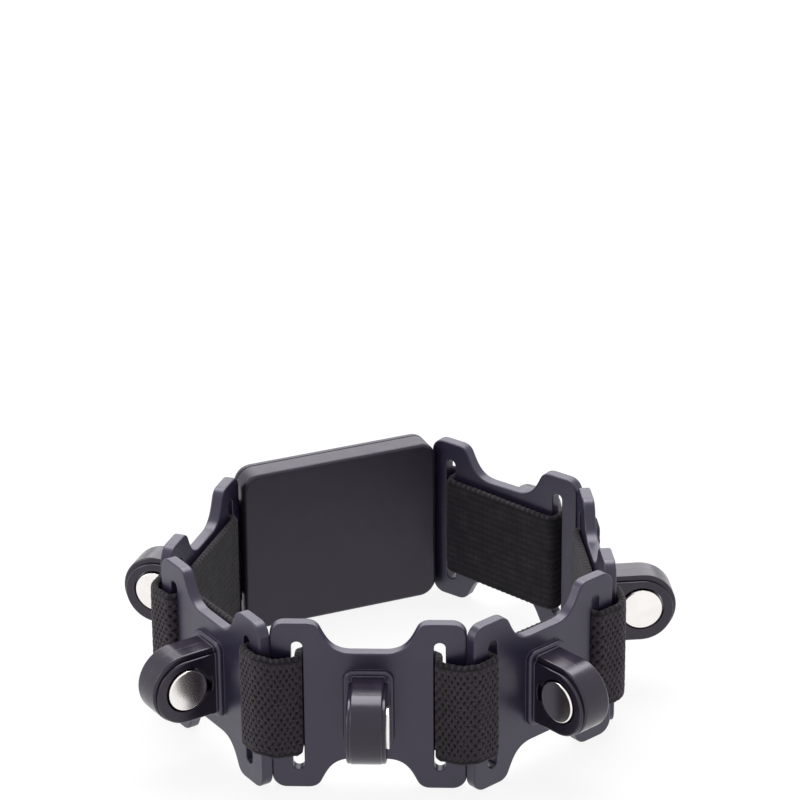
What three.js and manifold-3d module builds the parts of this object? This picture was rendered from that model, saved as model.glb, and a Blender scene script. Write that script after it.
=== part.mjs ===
// A magnetic wristband: six bit-holder links and a flat magnet case, strung on a woven
// elastic strap that closes them into a ring. Each link is a plate with an upright ear, and
// a round magnet goes through each ear. Millimetres, Z up. The ring stands on its edge with
// its axis along Z, its front link faces -Y and the case is at the back.
import * as THREE from 'three';
import { mergeVertices } from 'three/addons/utils/BufferGeometryUtils.js';
import Module from 'manifold-3d';

const wasm = await Module();
wasm.setup();

// Strap
const strapWidth = 16;
const strapThickness = 1;
const strapClearance = 0.3; // between the strap and whatever it passes
const strapLift = 0.25; // how far the strap climbs from a slot to the end of a link
const frontStrapLift = 0.8; // the same at the front link, which lies inside its neighbours
const strapEndSetback = 0.2; // from the end of a link to the end of its run of strap

// Links
const linkLength = 26;
const linkHeight = 25.4;
const linkGap = 0.4; // between the inner edges of neighbours
const plateThickness = 1.7;
const waistHeight = 16.4;
const endBarWidth = 2.5; // from the end of a link to its slot
const slotWidth = 1.6;
const slotHeight = 19.8;
const tabLength = 6.3; // the tall part at each end of a link
const shoulderLength = 4.4; // the curve from a tall end down to the waist
const tabOuterRadius = 2;
const tabInnerRadius = 1.7;
const plateEdgeBevel = 0.3;

// Foot of the ear: a raised frame on the plate
const footLength = 7;
const footHeight = 11.6;
const footRise = 0.8;
const footCornerRadius = 1.4;
const footEdgeBevel = 0.3;

// Ear
const earThickness = 5.4;
const earRadius = 5.1;
const earCentreRise = 5.4; // from the plate's outer face to the middle of the magnet
const earFaceRise = 0.5; // the raised face on each side of the ear
const earFaceInset = 0.3;
const earFaceDrop = 0.3; // the raised face's middle lies this far below the magnet's
const earEdgeBevel = 0.3;
const earFaceEdgeBevel = 0.15;
const pryNotchReach = 0.8; // past the magnet's bore, towards the plate
const pryNotchWidth = 2.3;

// Bit magnets
const magnetDiameter = 6;
const magnetLength = 5.9;
const magnetChamfer = 0.35;
const magnetClearance = 0.25;
const frontMagnetSlip = 0.2; // the front link's magnet has slipped this far to the right

// Case
const caseLength = 30.4;
const caseDepth = 4.4;
const caseInset = 1.7; // how far its inner face lies inside the links' inner faces
const caseCornerRadius = 2.6;
const caseEdgeBevel = 0.6;
const caseWall = 1.2;
const caseFloor = 0.9;
const coverThickness = 1;
const coverEdgeBevel = 0.45;
const seatGap = 0.3; // between pieces of the case that lie on each other
const lipWidth = 0.8;
const lipRise = 0.7;
const keeperLength = 21;
const keeperThickness = 0.5;
const keeperMargin = 0.6; // from the keeper to the walls above and below it
const blockSpacing = 0.5; // between the two block magnets
const blockEndGap = 0.7; // from the block magnets to the ends of the strap
const anchorBarWidth = 1.2;
const anchorBarMargin = 0.8; // past each edge of the strap
const strapTailLength = 1.3; // how far the strap between case and link reaches in

// How the ring stands: the turn from one segment to the next, in degrees. The ring closes
// with the last of them as it is, by one small extra turn that the other four share.
const frontRightTurn = 44;
const rightTurn = 54;
const backRightTurn = 46.5;
const frontLeftTurn = 54.5;
const backLeftTurn = 48.06; // from the case to link 5
const extraTurnReach = 15; // the extra turn is looked for this far either way
const frontLinkInset = 2; // the front link has slipped this far inside its neighbours

// Fineness of the facets. An arc of an extruded outline gets twice its number.
const cornerSteps = 3;
const shoulderSteps = 6;
const earSteps = 8;
const boreSteps = 12;
const magnetSteps = 28;
const bendSteps = 5;
const bridgeSteps = 8;
const extraTurnSteps = 50;

// One overrun for every cut that leaves a solid
const overrun = 1;

// Shares that shape the curves
const shoulderPullShare = 0.66;
const shoulderDropShare = 0.55;
const runPullShare = 0.4;
const runRiseShare = 0.2; // outward rise of the strap along a link's end
const frontRunRiseShare = 0.35;
const caseRiseShare = 0.5; // the same at the mouth of the case
const bridgePullShare = 0.4;
const boreOpeningShare = 0.7; // share of the bore that stays round beside the pry notch

// Sizes that follow from the ones above
const halfLink = linkLength / 2;
const halfCase = caseLength / 2;
const midHeight = linkHeight / 2;
const linkPitch = linkLength + linkGap;
const casePitch = caseLength + linkGap;
const slotCentre = halfLink - endBarWidth - slotWidth / 2;
const bendRadius = strapClearance + strapThickness / 2; // of the strap round a slot's edge
const strapOutside = plateThickness + bendRadius;
const strapInside = -bendRadius;
const earCentre = plateThickness + earCentreRise;
const trayRim = caseDepth - caseInset - coverThickness - seatGap; // measured outward
const trayFloor = caseFloor - caseInset;
const coverInside = trayRim + seatGap;
const strapInCase = trayRim - strapThickness / 2;
const barTop = strapInCase - bendRadius;
const keeperTop = trayFloor + seatGap + keeperThickness;
const barOuterEdge = halfCase - caseWall - seatGap;
const barInnerEdge = barOuterEdge - anchorBarWidth;
const strapEndEdge = barInnerEdge - bendRadius - strapThickness / 2;
const blockRoom = 2 * (strapEndEdge - blockEndGap); // the length that both blocks fill

function toSolid(geometry) {
  const bare = geometry.index ? geometry.toNonIndexed() : geometry.clone();
  bare.deleteAttribute('normal');
  bare.deleteAttribute('uv');
  const merged = mergeVertices(bare);
  const vertProperties = new Float32Array(merged.attributes.position.array);
  const triVerts = new Uint32Array(merged.index.array);
  return new wasm.Manifold(new wasm.Mesh({ numProp: 3, vertProperties, triVerts }));
}

function toGeometry(solid) {
  const mesh = solid.getMesh();
  const geometry = new THREE.BufferGeometry();
  geometry.setAttribute('position', new THREE.BufferAttribute(mesh.vertProperties, 3));
  geometry.setIndex(new THREE.BufferAttribute(mesh.triVerts, 1));
  const faceted = geometry.toNonIndexed();
  faceted.computeVertexNormals();
  return faceted;
}

function join(first, ...others) {
  return others.reduce((sum, next) => sum.add(next), first);
}

function cut(first, ...others) {
  return others.reduce((rest, next) => rest.subtract(next), first);
}

function extrude(shape, depth, edgeBevel = 0, steps = cornerSteps) {
  return new THREE.ExtrudeGeometry(shape, {
    depth: depth - 2 * edgeBevel,
    curveSegments: steps,
    bevelEnabled: edgeBevel > 0,
    bevelThickness: edgeBevel,
    bevelSize: edgeBevel,
    bevelOffset: -edgeBevel,
    bevelSegments: 1,
  }).translate(0, 0, edgeBevel);
}

// Stands a drawing up: its X stays, its Y becomes Z, and its depth runs outward, along -Y,
// from the given distance.
function standUp(geometry, outward = 0) {
  return geometry.rotateX(Math.PI / 2).translate(0, -outward, midHeight);
}

// Turns a drawing of (outward, up) into a slab across the link, with its depth along X.
function standAcross(geometry, depth) {
  const across = geometry.translate(0, 0, -depth / 2).rotateX(Math.PI / 2);
  return across.rotateZ(-Math.PI / 2).translate(0, 0, midHeight);
}

function roundedRectangle(width, height, radius) {
  const x = width / 2 - radius;
  const y = height / 2 - radius;
  const quarter = Math.PI / 2;
  const shape = new THREE.Shape();
  shape.absarc(x, y, radius, 0, quarter);
  shape.absarc(-x, y, radius, quarter, 2 * quarter);
  shape.absarc(-x, -y, radius, 2 * quarter, 3 * quarter);
  shape.absarc(x, -y, radius, 3 * quarter, 4 * quarter);
  shape.closePath();
  return shape;
}

// A box between two distances outward, centred on (x, up).
function slab(length, height, inner, outer, x = 0, up = 0) {
  const geometry = new THREE.BoxGeometry(length, outer - inner, height);
  return toSolid(geometry.translate(x, -(inner + outer) / 2, midHeight + up));
}

// One quarter of the plate's outline, from the waist to the end of the tall tab.
function plateQuarter() {
  const tabStart = halfLink - tabLength;
  const waist = waistHeight / 2;
  const drop = midHeight - waist;
  const tabTop = midHeight - tabInnerRadius / 2;
  const shoulder = new THREE.CubicBezierCurve(
    new THREE.Vector2(tabStart - shoulderLength, waist),
    new THREE.Vector2(tabStart - shoulderLength * (1 - shoulderPullShare), waist),
    new THREE.Vector2(tabStart - tabInnerRadius / 2, midHeight - drop * shoulderDropShare),
    new THREE.Vector2(tabStart, tabTop),
  );
  const innerCorner = new THREE.QuadraticBezierCurve(
    new THREE.Vector2(tabStart, tabTop),
    new THREE.Vector2(tabStart + tabInnerRadius / 3, midHeight),
    new THREE.Vector2(tabStart + tabInnerRadius, midHeight),
  );
  const outerCorner = new THREE.EllipseCurve(
    halfLink - tabOuterRadius, midHeight - tabOuterRadius,
    tabOuterRadius, tabOuterRadius, Math.PI / 2, 0, true,
  );
  return [
    ...shoulder.getPoints(shoulderSteps),
    ...innerCorner.getPoints(cornerSteps).slice(1),
    ...outerCorner.getPoints(cornerSteps),
  ];
}

function plateShape() {
  const quarter = plateQuarter();
  const corner = (xSign, ySign) => {
    const points = quarter.map((p) => new THREE.Vector2(p.x * xSign, p.y * ySign));
    return xSign * ySign > 0 ? points.reverse() : points;
  };
  const shape = new THREE.Shape([
    ...corner(1, -1), ...corner(1, 1), ...corner(-1, 1), ...corner(-1, -1),
  ]);
  const slotEnd = (slotHeight - slotWidth) / 2;
  for (const side of [-1, 1]) {
    const slot = new THREE.Path();
    slot.absarc(side * slotCentre, slotEnd, slotWidth / 2, 0, Math.PI);
    slot.absarc(side * slotCentre, -slotEnd, slotWidth / 2, Math.PI, 2 * Math.PI);
    slot.closePath();
    shape.holes.push(slot);
  }
  return shape;
}

// The ear's upright outline, drawn as (outward, up), rooted inside the plate.
function earShape(radius, drop = 0) {
  const shape = new THREE.Shape();
  shape.moveTo(plateThickness / 2, -radius - drop);
  shape.absarc(earCentre, -drop, radius, -Math.PI / 2, Math.PI / 2);
  shape.lineTo(plateThickness / 2, radius - drop);
  shape.closePath();
  return shape;
}

function boreShape() {
  const radius = magnetDiameter / 2 + magnetClearance;
  const open = Math.PI * boreOpeningShare;
  const notchEnd = earCentre - radius - pryNotchReach;
  const shape = new THREE.Shape();
  shape.absarc(earCentre, 0, radius, -open, open);
  shape.lineTo(notchEnd, pryNotchWidth / 2);
  shape.lineTo(notchEnd, -pryNotchWidth / 2);
  shape.closePath();
  return shape;
}

function linkGeometry() {
  const plate = extrude(plateShape(), plateThickness, plateEdgeBevel);
  const foot = extrude(
    roundedRectangle(footLength, footHeight, footCornerRadius),
    plateThickness / 2 + footRise, footEdgeBevel,
  );
  const bodyDepth = earThickness - 2 * earFaceRise;
  const body = extrude(earShape(earRadius), bodyDepth, earEdgeBevel, earSteps);
  const face = extrude(
    earShape(earRadius - earFaceInset, earFaceDrop), earThickness, earFaceEdgeBevel, earSteps,
  );
  const boreDepth = earThickness + 2 * overrun;
  const bore = extrude(boreShape(), boreDepth, 0, boreSteps);
  const solid = join(
    toSolid(standUp(plate)),
    toSolid(standUp(foot, plateThickness / 2)),
    toSolid(standAcross(body, bodyDepth)),
    toSolid(standAcross(face, earThickness)),
  );
  return toGeometry(cut(solid, toSolid(standAcross(bore, boreDepth))));
}

function magnetGeometry() {
  const radius = magnetDiameter / 2;
  const half = magnetLength / 2;
  const profile = [
    new THREE.Vector2(0, -half),
    new THREE.Vector2(radius - magnetChamfer, -half),
    new THREE.Vector2(radius, magnetChamfer - half),
    new THREE.Vector2(radius, half - magnetChamfer),
    new THREE.Vector2(radius - magnetChamfer, half),
    new THREE.Vector2(0, half),
  ];
  const lathe = new THREE.LatheGeometry(profile, magnetSteps);
  return lathe.rotateZ(Math.PI / 2).translate(0, -earCentre, midHeight);
}

// A band of strap along a centreline of points (along, outward), standing upright.
function bandGeometry(line) {
  const side = (sign) => line.map((point, i) => {
    const before = line[Math.max(i - 1, 0)];
    const after = line[Math.min(i + 1, line.length - 1)];
    const along = after.clone().sub(before).normalize();
    const across = new THREE.Vector2(-along.y, along.x);
    return point.clone().addScaledVector(across, (sign * strapThickness) / 2);
  });
  const outline = [...side(1), ...side(-1).reverse()];
  const shape = new THREE.Shape(outline.map((p) => new THREE.Vector2(p.x, -p.y)));
  return extrude(shape, strapWidth).translate(0, 0, midHeight - strapWidth / 2);
}

function bend(x, outward, fromAngle, toAngle) {
  const clockwise = toAngle < fromAngle;
  const arc = new THREE.EllipseCurve(
    x, outward, bendRadius, bendRadius, fromAngle, toAngle, clockwise,
  );
  return arc.getPoints(bendSteps);
}

// Where a link's run of strap ends, and which way it goes there, as (along, outward).
function runEnd(lift, rise) {
  return {
    point: new THREE.Vector2(halfLink - strapEndSetback, strapOutside + lift),
    heading: new THREE.Vector2(1, rise).normalize(),
  };
}

const frontRunEnd = runEnd(frontStrapLift, frontRunRiseShare);
const otherRunEnd = runEnd(strapLift, runRiseShare);

// The strap on one link: out of the last slot over the end bar, and behind the waist.
function strapRunGeometry({ point, heading }) {
  const slotExit = new THREE.Vector2(slotCentre + bendRadius, strapOutside);
  const pull = (point.x - slotExit.x) * runPullShare;
  const overBar = new THREE.CubicBezierCurve(
    slotExit, slotExit.clone().setX(slotExit.x + pull),
    point.clone().addScaledVector(heading, -pull), point,
  );
  const half = [
    ...bend(slotCentre - bendRadius, strapInside + bendRadius, -Math.PI / 2, 0),
    ...bend(slotExit.x, strapOutside - bendRadius, Math.PI, Math.PI / 2),
    ...overBar.getPoints(bendSteps).slice(1),
  ];
  const otherHalf = half.map((p) => new THREE.Vector2(-p.x, p.y)).reverse();
  return bandGeometry([...otherHalf, ...half]);
}

// The strap between two places of the ring, each a point with a heading.
function bridgeLine(from, to) {
  const pull = from.point.distanceTo(to.point) * bridgePullShare;
  const curve = new THREE.CubicBezierCurve(
    from.point, from.point.clone().addScaledVector(from.heading, pull),
    to.point.clone().addScaledVector(to.heading, -pull), to.point,
  );
  return curve.getPoints(bridgeSteps);
}

// Case pieces, in the case's own frame
function caseOutline() {
  return roundedRectangle(caseLength, linkHeight, caseCornerRadius);
}

function innerShellGeometry() {
  const depth = trayRim + caseInset;
  const blank = extrude(caseOutline(), depth + caseEdgeBevel, caseEdgeBevel);
  const hollow = extrude(
    roundedRectangle(
      caseLength - 2 * caseWall, linkHeight - 2 * caseWall, caseCornerRadius - caseWall,
    ),
    depth,
  );
  const notchFloor = strapInCase - bendRadius;
  const notchHeight = strapWidth + 2 * strapClearance;
  return toGeometry(cut(
    toSolid(standUp(blank, -caseInset)),
    slab(2 * caseLength, 2 * linkHeight, trayRim, trayRim + caseDepth),
    toSolid(standUp(hollow, trayFloor)),
    slab(2 * caseLength, notchHeight, notchFloor, trayRim + overrun),
  ));
}

function outerCoverGeometry() {
  const outside = caseDepth - caseInset;
  const blank = extrude(caseOutline(), coverThickness + coverEdgeBevel, coverEdgeBevel);
  const lipPlace = midHeight - caseWall - seatGap - lipWidth / 2;
  const lips = [-1, 1].map((side) => slab(
    blockRoom, lipWidth, coverInside - lipRise, coverInside + coverThickness / 2,
    0, side * lipPlace,
  ));
  const plate = cut(
    toSolid(standUp(blank, coverInside - coverEdgeBevel)),
    slab(2 * caseLength, 2 * linkHeight, coverInside - caseDepth, coverInside),
  );
  const past = slab(2 * caseLength, 2 * linkHeight, outside, outside + caseDepth);
  return toGeometry(cut(join(plate, ...lips), past));
}

// The keeper lies on the floor of the case between the ends of the strap and clears them
// and their bars, so a longer one goes past above and below them.
function keeperGeometry() {
  const height = linkHeight - 2 * (caseWall + keeperMargin);
  const plate = slab(keeperLength, height, trayFloor + seatGap, keeperTop);
  const notchHeight = strapWidth + 2 * (anchorBarMargin + seatGap);
  const notches = [-1, 1].map((side) => slab(
    caseLength, notchHeight, trayFloor, barTop + seatGap,
    side * (strapEndEdge - seatGap + halfCase),
  ));
  return toGeometry(cut(plate, ...notches));
}

function blockGeometry(side) {
  const length = (blockRoom - blockSpacing) / 2;
  const height = linkHeight - 2 * (caseWall + lipWidth + 2 * seatGap);
  const x = (side * (length + blockSpacing)) / 2;
  return toGeometry(slab(length, height, keeperTop + seatGap, coverInside - seatGap, x));
}

function anchorBarGeometry(side) {
  const height = strapWidth + 2 * anchorBarMargin;
  const x = side * (barOuterEdge - anchorBarWidth / 2);
  return toGeometry(slab(anchorBarWidth, height, trayFloor + seatGap, barTop, x));
}

// The end of the strap in the case, hooked down behind its anchor bar.
function strapEndGeometry(side) {
  const start = halfCase - strapTailLength - strapClearance;
  const line = [
    new THREE.Vector2(start, strapInCase),
    ...bend(barInnerEdge, barTop, Math.PI / 2, Math.PI),
    new THREE.Vector2(barInnerEdge - bendRadius, trayFloor + seatGap),
  ];
  return bandGeometry(line.map((p) => new THREE.Vector2(p.x * side, p.y)));
}

// The closed chain of chords. A heading of 0 runs along +X, and the chain goes round
// counterclockwise, so a segment's left is inside the ring.
function headingVector(heading) {
  return new THREE.Vector2(Math.cos(heading), Math.sin(heading));
}

function chordFrom(start, heading, pitch) {
  const end = start.clone().addScaledVector(headingVector(heading), pitch);
  return { start, end, heading, middle: start.clone().lerp(end, 0.5) };
}

function chordBetween(start, end) {
  const span = end.clone().sub(start);
  return chordFrom(start, Math.atan2(span.y, span.x), span.length());
}

function spanOf(chord) {
  return chord.start.distanceTo(chord.end);
}

// The links but link 5, and the open chord that link 5 and the case have to span.
function layOutOpenRing(extraTurn) {
  const turn = (degrees) => ((degrees + extraTurn) * Math.PI) / 180;
  const front = chordFrom(new THREE.Vector2(-linkPitch / 2, 0), 0, linkPitch);
  const frontRight = chordFrom(front.end, turn(frontRightTurn), linkPitch);
  const right = chordFrom(frontRight.end, frontRight.heading + turn(rightTurn), linkPitch);
  const backRight = chordFrom(right.end, right.heading + turn(backRightTurn), linkPitch);
  const leftHeading = headingVector(-turn(frontLeftTurn));
  const frontLeft = chordBetween(
    front.start.clone().addScaledVector(leftHeading, -linkPitch), front.start,
  );
  const open = chordBetween(backRight.end, frontLeft.start);
  return { frontLeft, front, frontRight, right, backRight, open };
}

// Halves the reach of the extra turn until the open chord is as long as the one that the
// case and link 5 span at their own turn.
function layOutRing() {
  const caseChord = chordFrom(new THREE.Vector2(), 0, casePitch);
  const linkChord = chordFrom(caseChord.end, (backLeftTurn * Math.PI) / 180, linkPitch);
  const closing = chordBetween(caseChord.start, linkChord.end);
  let low = -extraTurnReach;
  let high = extraTurnReach;
  for (let i = 0; i < extraTurnSteps; i += 1) {
    const extraTurn = (low + high) / 2;
    if (spanOf(layOutOpenRing(extraTurn).open) > spanOf(closing)) low = extraTurn;
    else high = extraTurn;
  }
  const { open, ...links } = layOutOpenRing(low);
  const back = chordFrom(open.start, open.heading - closing.heading, casePitch);
  const backLeft = chordBetween(back.end, open.end);
  return { ...links, back, backLeft };
}

// A segment's place in the plan: its middle, moved inside its chord by the inset, and the
// unit vectors along it and outward.
function frameOf(chord, inset = 0) {
  const along = headingVector(chord.heading);
  const outward = new THREE.Vector2(along.y, -along.x);
  const middle = chord.middle.clone().addScaledVector(outward, -inset);
  return { middle, along, outward, heading: chord.heading };
}

// Turns (along, outward) of a segment into the plan.
function directionInPlan(frame, direction) {
  return new THREE.Vector2()
    .addScaledVector(frame.along, direction.x)
    .addScaledVector(frame.outward, direction.y);
}

function pointInPlan(frame, point) {
  return directionInPlan(frame, point).add(frame.middle);
}

// Where a bridge leaves one segment's strap, and where it enters the next one's.
function leaving({ frame, end, trim }) {
  const start = end.point.clone().addScaledVector(end.heading, trim);
  return { point: pointInPlan(frame, start), heading: directionInPlan(frame, end.heading) };
}

function entering({ frame, end, trim }) {
  const start = end.point.clone().addScaledVector(end.heading, trim);
  const heading = new THREE.Vector2(end.heading.x, -end.heading.y);
  start.setX(-start.x);
  return { point: pointInPlan(frame, start), heading: directionInPlan(frame, heading) };
}

// Ring, counterclockwise from the case. A bridge reaches into the case by a straight tail.
const plan = layOutRing();
const caseSegment = {
  frame: frameOf(plan.back),
  end: {
    point: new THREE.Vector2(halfCase, strapInCase),
    heading: new THREE.Vector2(1, caseRiseShare).normalize(),
  },
  trim: 0,
  tail: new THREE.Vector2(halfCase - strapTailLength, strapInCase),
};

function linkSegment(chord, inset = 0, end = otherRunEnd) {
  return { frame: frameOf(chord, inset), end, trim: strapClearance };
}

const front = {
  ...linkSegment(plan.front, frontLinkInset, frontRunEnd), magnetSlip: frontMagnetSlip,
};
const frontRight = linkSegment(plan.frontRight);
const right = linkSegment(plan.right);
const backRight = linkSegment(plan.backRight);
const backLeft = linkSegment(plan.backLeft);
const frontLeft = linkSegment(plan.frontLeft);

// In the order of their numbers, and in the order of the strap from the case
const linkSegments = [front, frontRight, right, backRight, backLeft, frontLeft];
const strapOrder = [caseSegment, backLeft, frontLeft, front, frontRight, right, backRight];

// A bridge is drawn in the plan, where outward is -Y.
function bridgeGeometry(from, to) {
  const line = bridgeLine(leaving(from), entering(to));
  if (from.tail) line.unshift(pointInPlan(from.frame, from.tail));
  if (to.tail) line.push(pointInPlan(to.frame, to.tail.clone().setX(-to.tail.x)));
  return bandGeometry(line.map((p) => new THREE.Vector2(p.x, -p.y)));
}

// Finishes
const plastic = { color: 0x58546a, roughness: 0.42, metalness: 0 };
const casePlastic = { color: 0x4d4957, roughness: 0.5, metalness: 0 };
const elastic = { color: 0x232124, roughness: 0.9, metalness: 0 };
const nickel = { color: 0xe2e0dc, roughness: 0.16, metalness: 1 };
const steel = { color: 0x9b9a98, roughness: 0.35, metalness: 1 };

function named(name, geometry, finish) {
  const mesh = new THREE.Mesh(geometry, new THREE.MeshStandardMaterial(finish));
  mesh.name = name;
  return mesh;
}

function placed(frame, ...meshes) {
  const segment = new THREE.Group();
  segment.position.set(frame.middle.x, frame.middle.y, 0);
  segment.rotation.z = frame.heading;
  segment.add(...meshes);
  return segment;
}

const ring = new THREE.Group();

const link = linkGeometry();
const bitMagnet = magnetGeometry();
linkSegments.forEach(({ frame, end, magnetSlip = 0 }, i) => {
  const number = i + 1;
  const magnet = named(`bit_magnet_${number}`, bitMagnet, nickel);
  magnet.position.setX(magnetSlip);
  ring.add(placed(
    frame,
    named(`link_${number}`, link, plastic),
    magnet,
    named(`strap_run_${number}`, strapRunGeometry(end), elastic),
  ));
});

ring.add(placed(
  caseSegment.frame,
  named('case_inner_shell', innerShellGeometry(), casePlastic),
  named('case_outer_cover', outerCoverGeometry(), casePlastic),
  named('steel_keeper', keeperGeometry(), steel),
  named('block_magnet_right', blockGeometry(-1), nickel),
  named('block_magnet_left', blockGeometry(1), nickel),
  named('anchor_bar_right', anchorBarGeometry(-1), steel),
  named('anchor_bar_left', anchorBarGeometry(1), steel),
  named('strap_end_right', strapEndGeometry(-1), elastic),
  named('strap_end_left', strapEndGeometry(1), elastic),
));

strapOrder.forEach((from, i) => {
  const to = strapOrder[(i + 1) % strapOrder.length];
  ring.add(named(`strap_bridge_${i + 1}`, bridgeGeometry(from, to), elastic));
});

// The middle of the ring's bounding box stands over the origin.
const middle = new THREE.Box3().setFromObject(ring, true).getCenter(new THREE.Vector3());
ring.position.set(-middle.x, -middle.y, 0);

const wristband = new THREE.Group();
wristband.add(ring);

export default wristband;
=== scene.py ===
import cmath
import math

import bmesh
import bpy
import numpy as np
from mathutils import Matrix, Vector


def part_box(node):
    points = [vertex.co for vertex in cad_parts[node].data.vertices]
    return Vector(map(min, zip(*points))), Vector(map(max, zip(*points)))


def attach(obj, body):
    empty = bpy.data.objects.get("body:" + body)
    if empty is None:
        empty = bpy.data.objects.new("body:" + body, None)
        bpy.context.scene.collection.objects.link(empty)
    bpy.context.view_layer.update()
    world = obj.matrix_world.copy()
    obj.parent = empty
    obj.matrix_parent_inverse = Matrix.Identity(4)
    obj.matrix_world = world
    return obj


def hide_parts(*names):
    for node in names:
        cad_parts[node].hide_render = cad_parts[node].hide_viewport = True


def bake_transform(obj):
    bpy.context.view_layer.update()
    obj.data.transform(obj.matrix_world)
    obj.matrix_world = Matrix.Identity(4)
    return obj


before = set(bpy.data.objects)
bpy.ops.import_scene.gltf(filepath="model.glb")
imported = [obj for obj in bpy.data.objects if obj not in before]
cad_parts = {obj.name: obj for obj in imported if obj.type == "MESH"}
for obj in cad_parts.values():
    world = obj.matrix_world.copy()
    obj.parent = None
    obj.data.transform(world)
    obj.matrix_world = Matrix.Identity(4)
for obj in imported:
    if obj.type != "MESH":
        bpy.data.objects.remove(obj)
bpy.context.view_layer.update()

# Sizes are in millimetres and angles in degrees. Each piece is drawn in its segment's own
# plan, as (along, outward) and height, and then placed in the ring, in metres.
MM = 0.001
MICRON = 0.000001

# Strap
STRAP_WIDTH = 16.0
STRAP_NARROWING = 0.7
STRAP_THICKNESS = 1.0
STRAP_CLEARANCE = 0.3
STRAP_END_SETBACK = 0.2
STRAP_HUG = 0.14
STRAP_TAIL = 1.3
TAIL_CLEARANCE = 0.35
CASE_RISE = 0.4
RUN_PULL = 0.4
BRIDGE_PULL = 0.34

# How the strap leaves a link: its extra height at the link's end, its slope there, and the
# tilt at which it comes out of the slot
CLOSE_FIT = {"lift": 0.08, "rise": 0.06, "tilt": 2.0}
FRONT_FIT = {"lift": 1.15, "rise": 0.45, "tilt": 26.0}
CASE_SIDE_FIT = {"lift": 0.45, "rise": 0.2, "tilt": 9.0}

# How far up the strap has slipped, at shares of the way through a part
SLIPS = {
    "run_6": ((0.0, 0.2), (0.3, 0.6), (0.7, 0.8), (1.0, 1.2)),
    "bridge_3": ((0.0, 1.2), (0.5, 1.25), (1.0, 0.5)),
    "run_1": ((0.0, 0.5), (0.5, -0.35), (1.0, -0.25)),
    "bridge_4": ((0.0, -0.25), (0.5, 0.25), (1.0, 0.2)),
    "run_2": ((0.0, 0.2), (0.5, 0.0)),
    "run_3": ((0.5, 0.0), (1.0, -0.6)),
    "bridge_6": ((0.0, -0.6), (1.0, -0.9)),
    "run_4": ((0.0, -0.9), (0.25, -1.3), (0.75, -0.5), (1.0, 0.0)),
}
NO_SLIP = ((0.0, 0.0),)
SLIP_SMOOTHING = 1.2

# Each gap's strap is parted after so many of its fifths
SPLIT_PARTS = 5
CASE_SPLIT = 2
LINK_SPLIT = 3

# Weave
PITCH_ALONG = 0.9
PITCH_ACROSS = 1.5
PIT_DEPTH = 0.2
PIT_START = 0.2
PIT_POWER = 0.85
PIT_SLANT = 0.3
BUMP_RISE = 0.05
RIB_PITCH = 1.0
RIB_RISE = 0.03
RIB_SEAM = 0.12
BEAD_RISE = 0.07
EDGE_PLAIN = 0.55
EDGE_FADE = 1.0
HEM_PLACE = 0.55
HEM_WIDTH = 0.16
STITCH_MAIN = 0.7
STITCH_SECOND = 0.3
FACES_APART = 5.0

# The weave's random wander: how far it shifts pits, rows and stitches, in radians of the
# weave, and which share of a pit's depth it changes
WANDER_PITCH = 1.1
WANDER_SEED = 11
PIT_WANDER = 0.55
ROW_WANDER = 0.3
DEPTH_WANDER = 0.35
STITCH_WANDER = 0.8

# How dark the weave is painted, from 0 on top of the yarn to 1 in a pit
# The darkness in the pits is painted shade. The hem, the inner face and the random drift are the
# weave's own pattern.
HEM_DARK = 0.7
INNER_DARK = 0.48
INNER_RIB_DARK = 0.13
INNER_SEAM_DARK = 0.04
INNER_HEM_DARK = 0.3
INNER_WANDER_DARK = 0.2
# The edge is painted darker between its raised beads and lighter on them, as painted shade and
# painted highlight
EDGE_DARK = 0.3
STITCH_PAINTED_SHADE = 0.75

# Links
LINK_LENGTH = 26.0
END_GROWTH = 0.14
FRONT_END_GROWTH = 0.37
LINK_HEIGHT = 25.4
LINK_GAP = 0.4
PLATE_THICKNESS = 1.7
WAIST_HEIGHT = 16.4
END_BAR = 2.5
SLOT_WIDTH = 1.6
SLOT_HEIGHT = 19.8
TAB_LENGTH = 6.3
SHOULDER_LENGTH = 4.4
TAB_OUTER_RADIUS = 2.0
TAB_INNER_RADIUS = 1.7
SHOULDER_PULL = 0.66
SHOULDER_DROP = 0.55
PLATE_EDGE = 0.24
SLOT_EDGE = 0.15

# Foot and ear
FOOT_LENGTH = 7.0
FOOT_HEIGHT = 11.6
FOOT_RISE = 0.8
FOOT_CORNER = 1.4
FOOT_EDGE = 0.42
FOOT_FILLET = 0.08
EAR_THICKNESS = 5.4
EAR_RADIUS = 5.1
EAR_REACH = 5.4
EAR_FACE_RISE = 0.5
EAR_FACE_INSET = 0.42
EAR_FACE_DROP = 0.38
EAR_EDGE = 0.3
EAR_FACE_EDGE = 0.32
EAR_FILLET = 0.16
SKIRT_TUCK = 0.03
SKIRT_OVERLAP = 0.02
BORE_RADIUS = 3.25
BORE_MOUTH = 0.1
NOTCH_REACH = 0.8
NOTCH_WIDTH = 2.3
MOULD_LINE_WIDTH = 0.1
MOULD_LINE_RISE = 0.015

# Magnets
MAGNET_RADIUS = 3.0
MAGNET_LENGTH = 5.9
MAGNET_EDGE = 0.24
FRONT_MAGNET_SLIP = 0.2

# Case
CASE_LENGTH = 30.4
CASE_DEPTH = 4.4
CASE_INSET = 1.7
CASE_CORNER = 2.6
CASE_EDGE = 0.6
CASE_RIM = 0.12
CASE_WALL = 1.2
CASE_FLOOR = 0.9
COVER_THICKNESS = 1.0
COVER_EDGE = 0.45
MOUTH_CORNER = 0.3
PARTING = 0.12
SEAT_GAP = 0.3
ANCHOR_BAR = 1.2

# Ring
FRONT_INSET = 2.0
TURNS_RIGHT = (44.0, 54.0, 46.5)
TURN_LEFT = 54.5
LINK_COUNT = 6
LINK_ORDER = (5, 6, 1, 2, 3, 4)

# Cutters and tolerances
CUT_PAST = 1.0
CUT_FLARE = 0.1
ROUND_END_SHORTFALL = 0.001
SAME_POINT = 1e-4
MERGE_DISTANCE = 1e-5
SHARP_ANGLE = 38.0

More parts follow.
